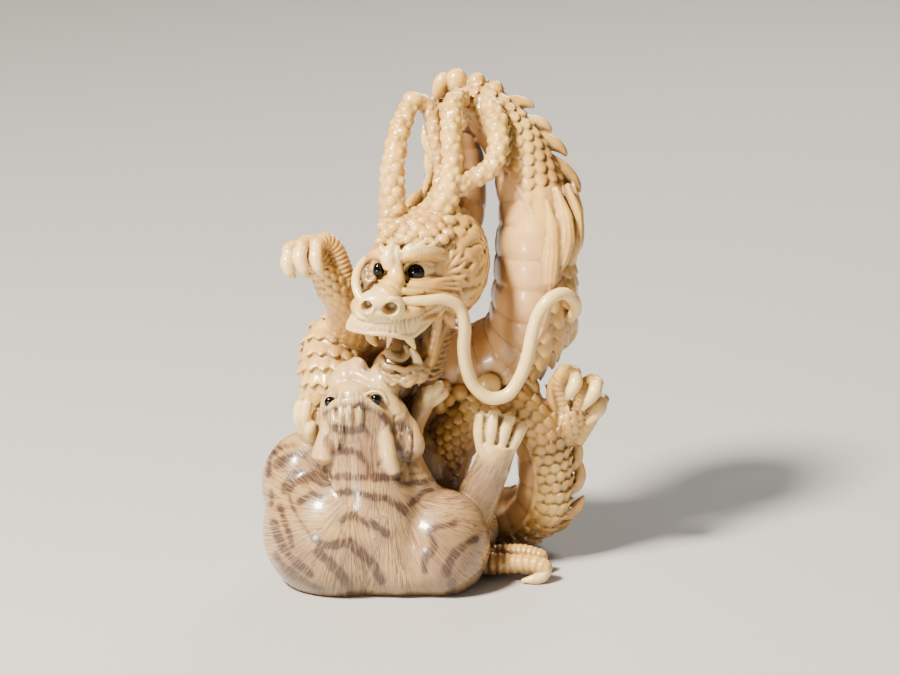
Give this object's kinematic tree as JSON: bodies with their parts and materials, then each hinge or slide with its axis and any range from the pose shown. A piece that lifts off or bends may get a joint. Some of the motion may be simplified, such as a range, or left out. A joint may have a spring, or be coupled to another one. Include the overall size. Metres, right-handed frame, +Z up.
{
  "type": "netsuke",
  "caption": "Small carved toggle of a horned dragon coiled over a crouching tiger, with black inlaid eyes.",
  "frame": {"origin": "on the flat underside, in the middle of the foot under the tiger's belly", "axes": "+Z up, the way it stands; the tiger's back faces -Y; the dragon's looped body is on +X"},
  "size_m": [0.0385, 0.0276, 0.0544],
  "materials": {
    "ivory": "polished cream ivory-like material, browner in the recesses",
    "eye_black": "glossy black inlay"
  },
  "bodies": {
    "root": {"carving": "ivory", "dragon_eye_left": "eye_black", "dragon_eye_right": "eye_black", "tiger_eye_left": "eye_black", "tiger_eye_right": "eye_black"}
  },
  "joints": []
}
